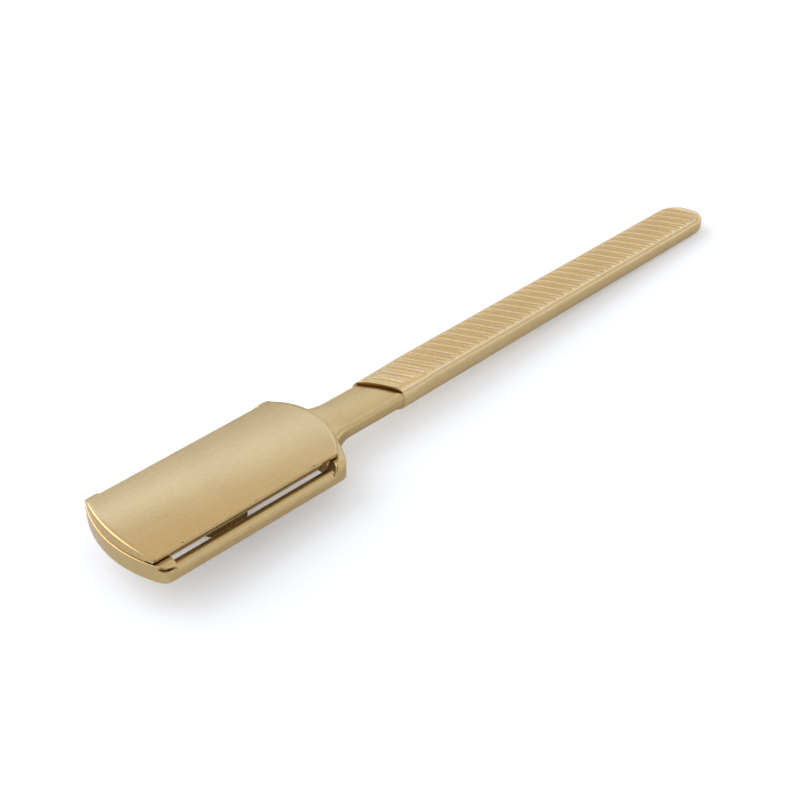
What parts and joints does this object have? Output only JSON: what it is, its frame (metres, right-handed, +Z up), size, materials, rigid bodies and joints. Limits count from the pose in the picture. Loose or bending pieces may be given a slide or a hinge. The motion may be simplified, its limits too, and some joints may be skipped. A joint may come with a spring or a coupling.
{
  "type": "hair shaping razor",
  "caption": "Slim brass hair shaping razor: a flat head clamps a double-edge blade between a crowned cover and a slotted guard frame, on a long grip with slanted ribs.",
  "frame": {"origin": "under the middle of the tool, on the plane of the thumb nut's foot", "axes": "+X along the tool from the head to the end of the grip, +Y across it, +Z up through the cover"},
  "size_m": [0.1696, 0.0268, 0.0123],
  "materials": {
    "frame_brass": "satin, brushed lengthwise",
    "grip_brass": "satin, brushed lengthwise",
    "cover_brass": "satin, brushed lengthwise",
    "hardware_brass": "turned",
    "nut_brass": "knurled",
    "blade_steel": "bright rolled"
  },
  "bodies": {
    "handle": {"guard_frame": "frame_brass", "grip": "grip_brass", "grip_pin": "hardware_brass"},
    "cap": {"cover": "cover_brass", "clamp_stud": "hardware_brass", "locating_pin_front": "hardware_brass", "locating_pin_rear": "hardware_brass"},
    "blade": {"blade": "blade_steel"},
    "washer": {"clamp_washer": "hardware_brass"},
    "nut": {"thumb_nut": "nut_brass"}
  },
  "joints": [
    {"name": "cover_lift", "type": "slide", "parent": "handle", "child": "cap", "axis": [0, 0, 1], "range_m": [0, 0.016]},
    {"name": "blade_lift", "type": "slide", "parent": "handle", "child": "blade", "axis": [0, 0, 1], "range_m": [0, 0.008]},
    {"name": "nut_drop", "type": "slide", "parent": "handle", "child": "washer", "axis": [0, 0, -1], "range_m": [0, 0.0024]},
    {"name": "nut_turn", "type": "hinge", "parent": "washer", "child": "nut", "pos_m": [-0.05953, 0, 0.003], "axis": [0, 0, -1], "range_deg": [0, 1080]}
  ],
  "couplings": [
    {"joint": "blade_lift", "follows": "cover_lift", "ratio": 0.5},
    {"joint": "nut_drop", "follows": "nut_turn", "m_per_rad": 0.00012732}
  ]
}
